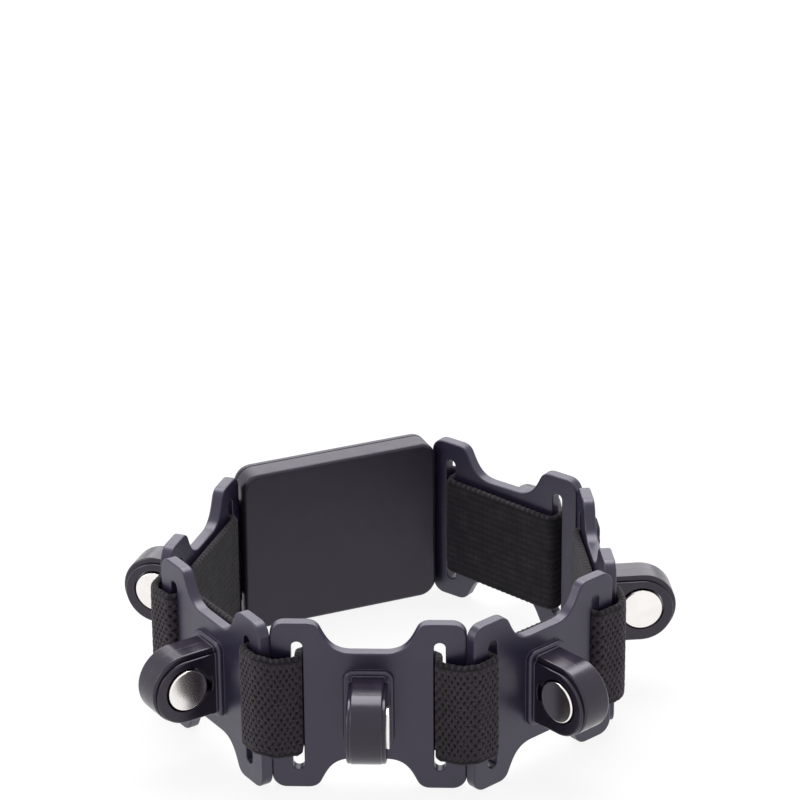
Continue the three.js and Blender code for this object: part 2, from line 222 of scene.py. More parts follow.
# Steps of curves and rounds
EDGE_STEPS = 6
CORNER_STEPS = 10
SHOULDER_STEPS = 20
KNEE_STEPS = 10
TAB_STEPS = 12
EAR_STEPS = 72
EAR_SIDE_STEPS = 13
BORE_STEPS = 96
NOTCH_STEPS = 12
SKIRT_STEPS = 7
BORE_MOUTH_STEPS = 3
SLOT_EDGE_STEPS = 4
MAGNET_STEPS = 96
CASE_CORNER_STEPS = 14
CASE_EDGE_STEPS = 8
CASE_RIM_STEPS = 3
RUN_STEPS = 24
BRIDGE_STEPS = 40
HOOK_STEPS = 20
STEPS_PER_HALF_PITCH = 4
LEAST_HALF_PITCHES = 2
POINTS_PER_PITCH_ACROSS = 10
INNER_POINTS = 58
STRAP_EDGE_STEPS = 8

# Camera, with its eye placed from the middle of the front link's inner face and the floor
EYE_RIGHT = 21.96
EYE_FRONT = 451.9
EYE_HEIGHT = 265.03
CAMERA_YAW = -2.208
CAMERA_PITCH = 24.604
CAMERA_ROLL = -0.465
FOCAL_PIXELS = 3780.4
PHOTO_PIXELS = 800
SENSOR_WIDTH = 36.0

# Stage and lamps, in metres and watts
NEAR_CLIP = 0.01
FAR_CLIP = 50.0
SOFT_LIGHT = 0.34
WHITE_LIGHT = 1.0
FLOOR_HALF = 6.0
FLOOR_TONE = 0.9
FLOOR_GLOW = 1.04
FLOOR_GLOW_SHARE = 0.85
LAMP_AIM = (0.0, 0.0, 0.01)
LAMPS = (
    {"name": "top", "place": (0.0, 0.26, 0.56), "size": (0.55, 0.42), "power": 3.8},
    {"name": "back", "place": (0.0, 0.75, 0.36), "size": (1.1, 0.36), "power": 2.2},
    {"name": "left", "place": (-0.6, -0.12, 0.3), "size": (0.36, 0.36), "power": 0.9},
)

HALF_LINK = LINK_LENGTH / 2
HALF_CASE = CASE_LENGTH / 2
MID_HEIGHT = LINK_HEIGHT / 2
SLOT_CENTRE = HALF_LINK - END_BAR - SLOT_WIDTH / 2
BEND_RADIUS = STRAP_CLEARANCE + STRAP_THICKNESS / 2
STRAP_OUTSIDE = PLATE_THICKNESS + BEND_RADIUS
DRAWN_WIDTH = STRAP_WIDTH - STRAP_NARROWING
STRAP_STEP = PITCH_ALONG / 2 / STEPS_PER_HALF_PITCH
FOOT_TOP = PLATE_THICKNESS + FOOT_RISE
EAR_CENTRE = PLATE_THICKNESS + EAR_REACH
EAR_HALF = EAR_THICKNESS / 2
EAR_SIDE = EAR_HALF - EAR_FACE_RISE
COVER_INSIDE = CASE_DEPTH - CASE_INSET - COVER_THICKNESS
SHELL_RIM = COVER_INSIDE - PARTING
STRAP_IN_CASE = COVER_INSIDE - SEAT_GAP - STRAP_THICKNESS / 2


# Places in the ring
def turned(degrees):
    return cmath.exp(1j * math.radians(degrees))


def ring_places():
    """Name to (middle of its inner face in plan, unit vector along) of each segment. The ring
    closes through the case and link_5, and lies where the CAD has link_1."""
    pitch = LINK_LENGTH + LINK_GAP
    case_pitch = CASE_LENGTH + LINK_GAP
    point = complex(-pitch / 2, 0)
    start = point
    heading = 0.0
    places = {}
    for number, turn in enumerate((0.0, *TURNS_RIGHT), start=1):
        heading += turn
        end = point + pitch * turned(heading)
        places[f"link_{number}"] = ((point + end) / 2, turned(heading))
        point = end
    left = start - pitch * turned(-TURN_LEFT)
    places["link_6"] = ((left + start) / 2, turned(-TURN_LEFT))
    span = left - point
    cosine = (case_pitch ** 2 + abs(span) ** 2 - pitch ** 2) / (2 * case_pitch * abs(span))
    along = cmath.exp(1j * (cmath.phase(span) - math.acos(cosine)))
    corner = point + case_pitch * along
    places["case"] = ((point + corner) / 2, along)
    places["link_5"] = ((corner + left) / 2, (left - corner) / abs(left - corner))
    places["link_1"] = (complex(0, FRONT_INSET), places["link_1"][1])
    low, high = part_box("link_1")
    shift = complex((low.x + high.x) / 2, high.y) / MM - places["link_1"][0]
    return {name: (middle + shift, way) for name, (middle, way) in places.items()}


PLACES = ring_places()


def in_plan(place, local):
    """From (along + 1j * outward) in a segment to the ring's plan."""
    middle, along = PLACES[place]
    return middle + along * np.conj(local)


def place_matrix(place):
    middle, along = PLACES[place]
    turn = Matrix.Rotation(cmath.phase(along), 4, "Z")
    return Matrix.Translation((middle.real * MM, middle.imag * MM, 0)) @ turn


def new_object(name, data):
    made = bpy.data.objects.new(name, data)
    bpy.context.scene.collection.objects.link(made)
    return made


# Camera
def add_camera():
    low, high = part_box("link_1")
    eye = Vector(((low.x + high.x) / 2 + EYE_RIGHT * MM, high.y - EYE_FRONT * MM,
                  EYE_HEIGHT * MM))
    yaw = math.radians(CAMERA_YAW)
    pitch = math.radians(CAMERA_PITCH)
    roll = math.radians(CAMERA_ROLL)
    ahead = Vector((math.sin(yaw) * math.cos(pitch), math.cos(yaw) * math.cos(pitch),
                    -math.sin(pitch)))
    right = Vector((math.cos(yaw), -math.sin(yaw), 0))
    up = right.cross(ahead)
    side = math.cos(roll) * right + math.sin(roll) * up
    top = math.cos(roll) * up - math.sin(roll) * right
    data = bpy.data.cameras.new("camera")
    data.sensor_width = SENSOR_WIDTH
    data.lens = FOCAL_PIXELS / PHOTO_PIXELS * SENSOR_WIDTH
    data.clip_start = NEAR_CLIP
    data.clip_end = FAR_CLIP
    camera = new_object("camera", data)
    camera.matrix_world = Matrix((
        (side.x, top.x, -ahead.x, eye.x),
        (side.y, top.y, -ahead.y, eye.y),
        (side.z, top.z, -ahead.z, eye.z),
        (0, 0, 0, 1),
    ))
    bpy.context.scene.camera = camera


add_camera()


# Materials
NOISE_RANGE = (0.3, 0.7)
FIBRE_RANGE = (0.32, 0.68)
FIBRE_TONES = (0.25, 1.4)
PATCH_TONES = (0.9, 1.08)
STAIN_RANGE = (0.32, 0.62)
PLASTIC_TINT = (0.93, 0.89, 1.0, 1.0)


class Nodes:
    """Adds nodes to a material or world and links them."""

    def __init__(self, owner):
        owner.use_nodes = True
        self.tree = owner.node_tree
        self.tree.nodes.clear()

    def add(self, kind, inputs=None, **settings):
        node = self.tree.nodes.new(kind)
        for key, value in settings.items():
            setattr(node, key, value)
        for key, value in (inputs or {}).items():
            socket = node.inputs[key]
            if isinstance(value, bpy.types.NodeSocket):
                self.tree.links.new(value, socket)
            else:
                socket.default_value = value
        return node

    def math(self, operation, first, second):
        node = self.add("ShaderNodeMath", {0: first, 1: second}, operation=operation)
        return node.outputs["Value"]

    def mix(self, share, first, second):
        return self.add("ShaderNodeMixShader", {0: share, 1: first, 2: second}).outputs[0]

    def ramp(self, factor, stops):
        node = self.add("ShaderNodeValToRGB", {"Fac": factor})
        ramp = node.color_ramp
        while len(ramp.elements) < len(stops):
            ramp.elements.new(0.5)
        for element, (place, colour) in zip(ramp.elements, stops):
            element.position = place
            element.color = (*colour, 1.0)
        return node.outputs["Color"]

    def span(self, value, source, target):
        """Maps the source pair of values to the target pair."""
        node = self.add("ShaderNodeMapRange", {
            "Value": value, "From Min": source[0], "From Max": source[1],
            "To Min": target[0], "To Max": target[1],
        })
        return node.outputs["Result"]

    def noise(self, scale, detail=3.0, roughness=0.55, vector=None):
        if vector is None:
            vector = self.add("ShaderNodeTexCoord").outputs["Object"]
        node = self.add("ShaderNodeTexNoise", {
            "Vector": vector, "Scale": scale, "Detail": detail, "Roughness": roughness,
        })
        return node.outputs["Fac"]

    def bump(self, height, distance, strength):
        node = self.add("ShaderNodeBump", {
            "Height": height, "Distance": distance, "Strength": strength,
        })
        return node.outputs["Normal"]

    def finish(self, **inputs):
        named = {key.replace("_", " "): value for key, value in inputs.items()}
        shader = self.add("ShaderNodeBsdfPrincipled", named)
        self.add("ShaderNodeOutputMaterial", {"Surface": shader.outputs["BSDF"]})


def moulded(name, dark, light, roughness, grain, index):
    """Moulded plastic: slight tone drift, a fine spark grain and a shine that drifts too."""
    material = bpy.data.materials.new(name)
    nodes = Nodes(material)
    drift = nodes.noise(scale=140.0, detail=4.0)
    fine = nodes.noise(scale=5200.0, detail=2.0)
    broad = nodes.noise(scale=420.0)
    nodes.finish(
        Base_Color=nodes.ramp(drift, list(zip(NOISE_RANGE, (dark, light)))),
        Roughness=nodes.span(broad, NOISE_RANGE, roughness),
        Normal=nodes.bump(fine, distance=grain, strength=0.6),
        IOR=index, Specular_Tint=PLASTIC_TINT,
    )
    return material


def woven(name):
    """Elastic webbing with painted shade: the pits of the relief and the gaps between the edge's
    beads are painted dark, and the yarn on top is painted lighter.
    """
    material = bpy.data.materials.new(name)
    nodes = Nodes(material)
    # The pit attribute holds painted shade for the pits and the edge's bead gaps, together with
    # the weave's pattern
    pit = nodes.add("ShaderNodeAttribute", attribute_name="pit").outputs["Fac"]
    cloth = nodes.add("ShaderNodeAttribute", attribute_name="cloth").outputs["Vector"]
    fibre = nodes.noise(scale=4.6, roughness=0.75, vector=cloth)
    patch = nodes.noise(scale=0.6, detail=2.0, roughness=0.5, vector=cloth)
    tone = nodes.math("MULTIPLY", nodes.span(pit, (0.0, 1.0), (1.0, 0.0)),
                      nodes.span(fibre, FIBRE_RANGE, FIBRE_TONES))
    tone = nodes.math("MULTIPLY", tone, nodes.span(patch, NOISE_RANGE, PATCH_TONES))
    # The ramp paints the shaded pits and bead gaps near black and the raised yarn lighter
    colour = nodes.ramp(tone, [
        (0.0, (0.0012, 0.0010, 0.0013)), (0.4, (0.0112, 0.0088, 0.0120)),
        (1.0, (0.058, 0.0465, 0.0600)),
    ])
    normal = nodes.bump(fibre, distance=60 * MICRON, strength=0.9)
    nodes.finish(Base_Color=colour, Roughness=0.82, Normal=normal, Sheen_Weight=0.12,
                 Sheen_Roughness=0.45, Specular_IOR_Level=0.28)
    return material


def plated(name, dark, light, roughness):
    """Metal with faint stains, which are darker and a little rougher, and rubbing marks."""
    material = bpy.data.materials.new(name)
    nodes = Nodes(material)
    stain = nodes.noise(scale=180.0, roughness=0.5)
    rub = nodes.noise(scale=2600.0, detail=2.0)
    nodes.finish(
        Base_Color=nodes.ramp(stain, list(zip(STAIN_RANGE, (dark, light)))), Metallic=1.0,
        Roughness=nodes.span(stain, NOISE_RANGE, roughness[::-1]),
        Normal=nodes.bump(rub, distance=1.5 * MICRON, strength=0.5),
    )
    return material


plate_plastic = moulded(
    "plate_plastic", dark=(0.0178, 0.0138, 0.0365), light=(0.0225, 0.0176, 0.0450),
    roughness=(0.31, 0.38), grain=7 * MICRON, index=1.64,
)
# The ear's plastic is the plate's, smoother, with its colour painted darker and less violet as
# painted shade
ear_plastic_with_painted_shade = moulded(
    "ear_plastic_with_painted_shade", dark=(0.0135, 0.0092, 0.0205), light=(0.0178, 0.0124, 0.0265),
    roughness=(0.19, 0.26), grain=4 * MICRON, index=1.55,
)
case_plastic = moulded(
    "case_plastic", dark=(0.0196, 0.0144, 0.0270), light=(0.0245, 0.0184, 0.0335),
    roughness=(0.34, 0.42), grain=6 * MICRON, index=1.51,
)
elastic = woven("elastic")
nickel = plated("nickel", dark=(0.86, 0.82, 0.79), light=(0.93, 0.905, 0.885),
                roughness=(0.15, 0.2))
steel = plated("steel", dark=(0.27, 0.26, 0.25), light=(0.36, 0.35, 0.34),
               roughness=(0.28, 0.4))


# Outlines
def arc_points(centre, radius, start, end, steps):
    angles = np.radians(np.linspace(start, end, steps + 1))
    return centre + radius * np.exp(1j * angles)


def bezier(a, b, c, d, steps):
    t = np.linspace(0, 1, steps + 1)
    return (1 - t) ** 3 * a + 3 * (1 - t) ** 2 * t * b + 3 * (1 - t) * t ** 2 * c + t ** 3 * d


def knee_curve(start, knee, end, steps):
    """From start to end, drawn towards the knee between them."""
    return bezier(start, start + (knee - start) * 2 / 3, end + (knee - end) * 2 / 3, end, steps)


def without_repeats(points, closed=True):
    points = np.asarray(points)
    kept = [points[0]]
    for p in points[1:]:
        if abs(p - kept[-1]) > SAME_POINT:
            kept.append(p)
    if closed and abs(kept[0] - kept[-1]) <= SAME_POINT:
        kept.pop()
    return np.array(kept)


def rounded_rectangle(width, height, radius, steps=CORNER_STEPS):
    x = width / 2 - radius
    y = height / 2 - radius
    corners = ((x, y, 0), (-x, y, 90), (-x, -y, 180), (x, -y, 270))
    return without_repeats(np.concatenate([
        arc_points(complex(cx, cy), radius, a, a + 90, steps) for cx, cy, a in corners
    ]))


def inset_outline(points, inset):
    """A dense closed outline moved inwards along its own normals."""
    ways = np.roll(points, -1) - np.roll(points, 1)
    ways /= np.abs(ways)
    return points + 1j * ways * inset


def plate_outline(growth):
    """The dogbone outline of a link, counterclockwise from the middle of its right end.
    Each end is longer than the CAD's by the growth, as the elastic pulls the links together."""
    end = HALF_LINK + growth
    tab = HALF_LINK - TAB_LENGTH
    waist = WAIST_HEIGHT / 2
    drop = MID_HEIGHT - waist
    tab_start = complex(tab, MID_HEIGHT - TAB_INNER_RADIUS / 2)
    shoulder = bezier(
        complex(tab - SHOULDER_LENGTH, waist),
        complex(tab - SHOULDER_LENGTH * (1 - SHOULDER_PULL), waist),
        complex(tab - TAB_INNER_RADIUS / 2, MID_HEIGHT - drop * SHOULDER_DROP),
        tab_start, SHOULDER_STEPS,
    )
    inner = knee_curve(tab_start, complex(tab + TAB_INNER_RADIUS / 3, MID_HEIGHT),
                       complex(tab + TAB_INNER_RADIUS, MID_HEIGHT), KNEE_STEPS)
    corner = complex(end - TAB_OUTER_RADIUS, MID_HEIGHT - TAB_OUTER_RADIUS)
    outer = arc_points(corner, TAB_OUTER_RADIUS, 90, 0, TAB_STEPS)
    quarter = without_repeats(np.concatenate([shoulder, inner, outer]), closed=False)
    return without_repeats(np.concatenate([
        quarter[::-1], -np.conj(quarter), -quarter[::-1], np.conj(quarter),
    ]))


def ear_outline(radius, drop=0.0):
    """The ear's outline as outward + 1j * up, rooted inside the plate."""
    root = PLATE_THICKNESS / 2
    tip = arc_points(EAR_CENTRE, radius, -90, 90, EAR_STEPS)
    side = np.linspace(root, EAR_CENTRE, EAR_SIDE_STEPS + 1)[:-1]
    outline = np.concatenate([side - 1j * radius, tip, side[::-1] + 1j * radius])
    return without_repeats(outline) - 1j * drop


def bore_outline(grow):
    """The magnet's bore with its pry notch, as outward + 1j * up."""
    radius = BORE_RADIUS + grow
    half = NOTCH_WIDTH / 2 + grow
    reach = BORE_RADIUS + NOTCH_REACH + grow
    opening = 180 - math.degrees(math.asin(half / radius))
    spread = math.degrees(math.asin(half / reach))
    round_part = arc_points(EAR_CENTRE, radius, -opening, opening, BORE_STEPS)
    notch = arc_points(EAR_CENTRE, reach, 180 - spread, 180 + spread, NOTCH_STEPS)
    return np.concatenate([round_part, notch])


# Rounded edges
def rounding(edge, steps=EDGE_STEPS):
    """Pairs (how far in, how far up) of a quarter round from a side to a face."""
    return [(edge * (1 - math.cos(a)), edge * math.sin(a))
            for a in np.linspace(0, math.pi / 2, steps + 1)]


def fillet(edge, level, steps=EDGE_STEPS):
    """Pairs (inset, level) of a hollow quarter round that flares out onto a level."""
    return [(-edge + inset, level + rise) for rise, inset in rounding(edge, steps)]


def layers(low, high, low_edge, high_edge, low_steps=EDGE_STEPS, high_steps=EDGE_STEPS):
    """Pairs (inset, level) of a slab with rounded edges."""
    rows = [(inset, low + low_edge - rise) for inset, rise in rounding(low_edge, low_steps)]
    return rows[::-1] + [(inset, high - high_edge + rise)
                         for inset, rise in rounding(high_edge, high_steps)]


def flared(low, high, edge, past, steps):
    """Pairs (inset, level) of a cutter that opens in a round at its two mouths."""
    mouth = rounding(edge, steps)
    rows = [(-edge - CUT_FLARE, low - past)]
    rows += [(rise - edge, low + inset) for inset, rise in mouth]
    rows += [(rise - edge, high - inset) for inset, rise in mouth[::-1]]
    return rows + [(-edge - CUT_FLARE, high + past)]


# Meshes
def standing(points, outward):
    """Points along + 1j * up at one distance outward, in the segment's own space."""
    return [(p.real, -outward, MID_HEIGHT + p.imag) for p in points]


def across(points, along):
    """Points outward + 1j * up at one place along the segment."""
    return [(along, -p.real, MID_HEIGHT + p.imag) for p in points]


def loft(name, rings):
    """A closed mesh through rings of equally many points, with a face on each end."""
    mesh = bpy.data.meshes.new(name)
    body = bmesh.new()
    rows = [[body.verts.new(p) for p in ring] for ring in rings]
    count = len(rows[0])
    for lower, upper in zip(rows, rows[1:]):
        for i in range(count):
            j = (i + 1) % count
            body.faces.new((lower[i], lower[j], upper[j], upper[i]))
    body.faces.new(rows[0][::-1])
    body.faces.new(rows[-1])
    bmesh.ops.recalc_face_normals(body, faces=body.faces)
    body.to_mesh(mesh)
    body.free()
    return new_object(name, mesh)


def slab(name, width, height, corner, rows, steps=CORNER_STEPS, shift=0.0):
    """A loft through upright rounded rectangles, one for each pair (inset, level)."""
    return loft(name, [
        standing(rounded_rectangle(width - 2 * inset, height - 2 * inset, corner - inset, steps)
                 + shift, level)
        for inset, level in rows
    ])


def applied(piece):
    """The piece's mesh with its modifiers applied, after which the piece has none left."""
    bpy.context.view_layer.update()
    graph = bpy.context.evaluated_depsgraph_get()
    mesh = bpy.data.meshes.new_from_object(piece.evaluated_get(graph))
    piece.modifiers.clear()
    return mesh


def combine(base, others, operation):
    for other in others:
        step = base.modifiers.new("step", "BOOLEAN")
        step.operation = operation
        step.solver = "EXACT"
        step.object = other
        old = base.data
        base.data = applied(base)
        bpy.data.meshes.remove(old)
        bpy.data.objects.remove(other)


def shade(piece):
    """Smooth shading, with edges over the sharp angle kept sharp and flat faces kept flat."""
    body = bmesh.new()
    body.from_mesh(piece.data)
    bmesh.ops.remove_doubles(body, verts=body.verts, dist=MERGE_DISTANCE)
    bmesh.ops.dissolve_degenerate(body, edges=body.edges, dist=MERGE_DISTANCE)
    limit = math.radians(SHARP_ANGLE)
    for face in body.faces:
        face.smooth = True
    for edge in body.edges:
        edge.smooth = not (len(edge.link_faces) == 2 and edge.calc_face_angle(0.0) > limit)
    body.to_mesh(piece.data)
    body.free()
    weights = piece.modifiers.new("weights", "WEIGHTED_NORMAL")
    weights.keep_sharp = True
    piece.data = applied(piece)
    return piece


def placed(piece, place, body, node, along=0.0):
    """Takes a piece drawn in millimetres to its place in the ring and hands it to the frame."""
    slip = Matrix.Translation((along, 0, 0))
    piece.data.transform(place_matrix(place) @ Matrix.Scale(MM, 4) @ slip)
    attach(piece, body)
    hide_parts(node)


# Links
def link_plate(growth):
    outline = plate_outline(growth)
    return loft("link", [
        standing(inset_outline(outline, inset), level)
        for inset, level in layers(0.0, PLATE_THICKNESS, PLATE_EDGE, PLATE_EDGE)
    ])


def link_foot():
    rows = [(-FOOT_FILLET, PLATE_THICKNESS / 2)]
    rows += fillet(FOOT_FILLET, PLATE_THICKNESS)
    rows += [(inset, FOOT_TOP - FOOT_EDGE + rise) for inset, rise in rounding(FOOT_EDGE)]
    return slab("foot", FOOT_LENGTH, FOOT_HEIGHT, FOOT_CORNER, rows)


def ear_body():
    """The ear's middle, with a mould line round it."""
    rows = layers(-EAR_SIDE, EAR_SIDE, EAR_EDGE, EAR_EDGE)
    middle = len(rows) // 2
    line = MOULD_LINE_WIDTH / 2
    rows[middle:middle] = [(0.0, -line), (-MOULD_LINE_RISE, -line / 3),
                           (-MOULD_LINE_RISE, line / 3), (0.0, line)]
    return loft("ear_body", [across(ear_outline(EAR_RADIUS - inset), x) for inset, x in rows])


def ear_face():
    """The raised faces on both sides of the ear, as one slab through it."""
    return loft("ear_face", [
        across(ear_outline(EAR_RADIUS - EAR_FACE_INSET - inset, EAR_FACE_DROP), x)
        for inset, x in layers(-EAR_HALF, EAR_HALF, EAR_FACE_EDGE, EAR_FACE_EDGE)
    ])


def ear_skirt(name, width, height, drop=0.0):
    """The small fillet where the ear rises from its foot."""
    rows = [(-EAR_FILLET, FOOT_TOP - FOOT_RISE / 2)]
    rows += fillet(EAR_FILLET, FOOT_TOP, SKIRT_STEPS)
    rows += [(SKIRT_TUCK, FOOT_TOP + EAR_FILLET + SKIRT_OVERLAP)]
    return slab(name, width, height, EAR_EDGE, rows, shift=-1j * drop)


def ear_bore():
    rows = flared(-EAR_HALF, EAR_HALF, BORE_MOUTH, EAR_HALF, BORE_MOUTH_STEPS)
    return loft("bore", [across(bore_outline(-inset), x) for inset, x in rows])


def link_slot(sign):
    rows = flared(0.0, PLATE_THICKNESS, SLOT_EDGE, CUT_PAST, SLOT_EDGE_STEPS)
    return slab("slot", SLOT_WIDTH, SLOT_HEIGHT, SLOT_WIDTH / 2 - ROUND_END_SHORTFALL, rows,
                shift=sign * SLOT_CENTRE)


def paint_link(link):
    """The plate and its foot are satin. The ear is the same plastic, smoother, and painted darker
    and less violet as painted shade.
    """
    mesh = link.data
    mesh.materials.clear()
    mesh.materials.append(plate_plastic)
    mesh.materials.append(ear_plastic_with_painted_shade)
    for face in mesh.polygons:
        outward = -face.center.y
        face.material_index = 1 if outward > FOOT_TOP + EAR_EDGE / 4 else 0


def add_link(growth):
    plate = link_plate(growth)
    combine(plate, [
        link_foot(), ear_body(), ear_face(),
        ear_skirt("skirt_wide", 2 * EAR_SIDE, 2 * EAR_RADIUS),
        ear_skirt("skirt_deep", EAR_THICKNESS, 2 * (EAR_RADIUS - EAR_FACE_INSET),
                  EAR_FACE_DROP),
    ], "UNION")
    combine(plate, [ear_bore(), link_slot(-1), link_slot(1)], "DIFFERENCE")
    paint_link(shade(plate))
    return plate


def add_magnet():
    half = MAGNET_LENGTH / 2
    circle = np.exp(2j * np.pi * np.arange(MAGNET_STEPS) / MAGNET_STEPS)
    rows = layers(-half, half, MAGNET_EDGE, MAGNET_EDGE)
    rings = [across(EAR_CENTRE + circle * (MAGNET_RADIUS - inset), x) for inset, x in rows]
    magnet = shade(loft("magnet", rings))
    magnet.data.materials.append(nickel)
    return magnet


def add_copy(model, word, number, node, along=0.0):
    """A copy of the model on one link, in place of the node of that number."""
    piece = new_object(f"{word}_{number}", model.data.copy())
    placed(piece, f"link_{number}", f"holder_{number}", f"{node}_{number}", along)


def add_links():
    link = add_link(END_GROWTH)
    front_link = add_link(FRONT_END_GROWTH)
    magnet = add_magnet()
    for number in range(1, LINK_COUNT + 1):
        front = number == 1
        add_copy(front_link if front else link, "holder_link", number, "link")
        add_copy(magnet, "holder_magnet", number, "bit_magnet",
                 FRONT_MAGNET_SLIP if front else 0.0)
    for model in (link, front_link, magnet):
        bpy.data.objects.remove(model)


# Case
def case_slab(name, rows):
    return slab(name, CASE_LENGTH + 2 * END_GROWTH, LINK_HEIGHT, CASE_CORNER, rows,
                CASE_CORNER_STEPS)


def strap_mouths():
    """A cutter for the two openings that the strap goes in by."""
    floor = STRAP_IN_CASE - BEND_RADIUS
    depth = COVER_INSIDE + CUT_PAST - floor
    height = STRAP_WIDTH + 2 * STRAP_CLEARANCE
    outline = rounded_rectangle(depth, height, MOUTH_CORNER) + (floor + depth / 2)
    return loft("mouth", [across(outline, x) for x in (-CASE_LENGTH, CASE_LENGTH)])


def add_case():
    shell = case_slab("case_shell", layers(-CASE_INSET, SHELL_RIM, CASE_EDGE, CASE_RIM,
                                           CASE_EDGE_STEPS, CASE_RIM_STEPS))
    hollow = case_slab("hollow", [(CASE_WALL, CASE_FLOOR - CASE_INSET),
                                  (CASE_WALL, SHELL_RIM + CUT_PAST)])
    combine(shell, [hollow, strap_mouths()], "DIFFERENCE")
    cover = case_slab("case_cover", layers(COVER_INSIDE, CASE_DEPTH - CASE_INSET, CASE_RIM,
                                           COVER_EDGE, CASE_RIM_STEPS, CASE_EDGE_STEPS))
    for piece, node in ((shell, "case_inner_shell"), (cover, "case_outer_cover")):
        shade(piece).data.materials.append(case_plastic)
        placed(piece, "case", "case", node)


# Strap line
def half_run(lift, rise, tilt):
    """From behind the middle of a link to where its strap leaves it, in the link's plan."""
    end = complex(HALF_LINK - STRAP_END_SETBACK, STRAP_OUTSIDE + lift)
    way = complex(1, rise) / abs(complex(1, rise))
    pull = (END_BAR + SLOT_WIDTH / 2 - BEND_RADIUS) * RUN_PULL
    crossing_place = SLOT_CENTRE - STRAP_HUG
    turn_in = complex(crossing_place - BEND_RADIUS, 0)
    turn_out = complex(crossing_place + BEND_RADIUS, PLATE_THICKNESS)
    out_arc = arc_points(turn_out, BEND_RADIUS, 180, 90 + tilt, RUN_STEPS)
    leave = out_arc[-1]
    line = np.concatenate([
        [complex(0, -BEND_RADIUS)],
        arc_points(turn_in, BEND_RADIUS, -90, 0, RUN_STEPS),
        out_arc,
        bezier(leave, leave + pull * turned(tilt), end - pull * way, end, RUN_STEPS),
    ])
    return without_repeats(line, closed=False), way


def link_strap(number):
    """One link's strap, with its ways in and out. It stands further off link_1, which is set
    in, and off the case's side of link_5, so that it clears the plate there."""
    start, way_in = half_run(**{1: FRONT_FIT, 5: CASE_SIDE_FIT}.get(number, CLOSE_FIT))
    end, way_out = half_run(**{1: FRONT_FIT}.get(number, CLOSE_FIT))
    whole = np.concatenate([-np.conj(start[::-1]), end[1:]])
    along = PLACES[f"link_{number}"][1]
    return in_plan(f"link_{number}", whole), along * way_in, along * np.conj(way_out)


def case_hook():
    """The strap's end in the case, up behind its anchor bar and over it to the tail."""
    bar = HALF_CASE - CASE_WALL - SEAT_GAP - ANCHOR_BAR
    end = complex(bar - BEND_RADIUS, CASE_FLOOR - CASE_INSET + SEAT_GAP)
    over = arc_points(complex(bar, STRAP_IN_CASE - BEND_RADIUS), BEND_RADIUS, 180, 90,
                      HOOK_STEPS)
    return without_repeats(np.concatenate([
        [end], over, [complex(HALF_CASE - STRAP_TAIL, STRAP_IN_CASE)],
    ]), closed=False)


def bridge_curve(start, leaving, end, entering):
    """Over a gap, from the way out of one segment to the way into the next."""
    pull = abs(end - start) * BRIDGE_PULL
    return bezier(start, start + pull * leaving, end - pull * entering, end, BRIDGE_STEPS)


def strap_line():
    """The whole strap in plan, as a list of (part, points) from the case round to the case."""
    hook = case_hook()
    case_way = complex(1, CASE_RISE) / abs(complex(1, CASE_RISE))
    along = PLACES["case"][1]
    mouth = complex(HALF_CASE, STRAP_IN_CASE)
    tail = complex(HALF_CASE - STRAP_TAIL, STRAP_IN_CASE)
    parts = [("tail_left", in_plan("case", hook))]
    lead = in_plan("case", np.array([tail, mouth]))
    leaving = along * np.conj(case_way)
    for step, number in enumerate(LINK_ORDER, start=1):
        run, entering, link_leaving = link_strap(number)
        curve = bridge_curve(lead[-1], leaving, run[0], entering)
        parts.append((f"bridge_{step}", np.concatenate([lead, curve[1:]])))
        parts.append((f"run_{number}", run))
        lead = run[-1:]
        leaving = link_leaving
    last = in_plan("case", np.array([-np.conj(mouth), -np.conj(tail)]))
    curve = bridge_curve(lead[-1], leaving, last[0], along * case_way)
    parts.append(("bridge_7", np.concatenate([curve, last[1:]])))
    parts.append(("tail_right", in_plan("case", -np.conj(hook[::-1]))))
    return parts


def evenly(points, count):
    lengths = np.concatenate([[0], np.cumsum(np.abs(np.diff(points)))])
    places = np.linspace(0, lengths[-1], count + 1)
    return np.interp(places, lengths, points.real) + 1j * np.interp(places, lengths, points.imag)


def smoothed(slip):
    reach = round(SLIP_SMOOTHING / STRAP_STEP)
    weights = np.hanning(2 * reach + 3)[1:-1]
    return np.convolve(np.pad(slip, reach, "edge"), weights / weights.sum(), "valid")


def sampled_strap():
    """The strap's line in even steps, with the weave's phase and the slip at each, and the
    first and last step of each part. A bridge holds a whole number of the weave's pitches."""
    lines, phases, slips, spans = [], [], [], {}
    phase = 0.0
    place = 0
    for part, points in strap_line():
        length = np.abs(np.diff(points)).sum()
        halves = max(LEAST_HALF_PITCHES, round(length / (PITCH_ALONG / 2)))
        if part.startswith("bridge"):
            halves += halves % 2
        count = halves * STEPS_PER_HALF_PITCH
        turn = phase + np.linspace(0, halves * np.pi, count + 1)
        shares, heights = zip(*SLIPS.get(part, NO_SLIP))
        keep = slice(0 if place == 0 else 1, None)
        lines.append(evenly(points, count)[keep])
        phases.append(turn[keep])
        slips.append(np.interp(np.linspace(0, 1, count + 1), shares, heights)[keep])
        spans[part] = (place, place + count)
        place += count
        phase = turn[-1]
    return np.concatenate(lines), np.concatenate(phases), smoothed(np.concatenate(slips)), spans


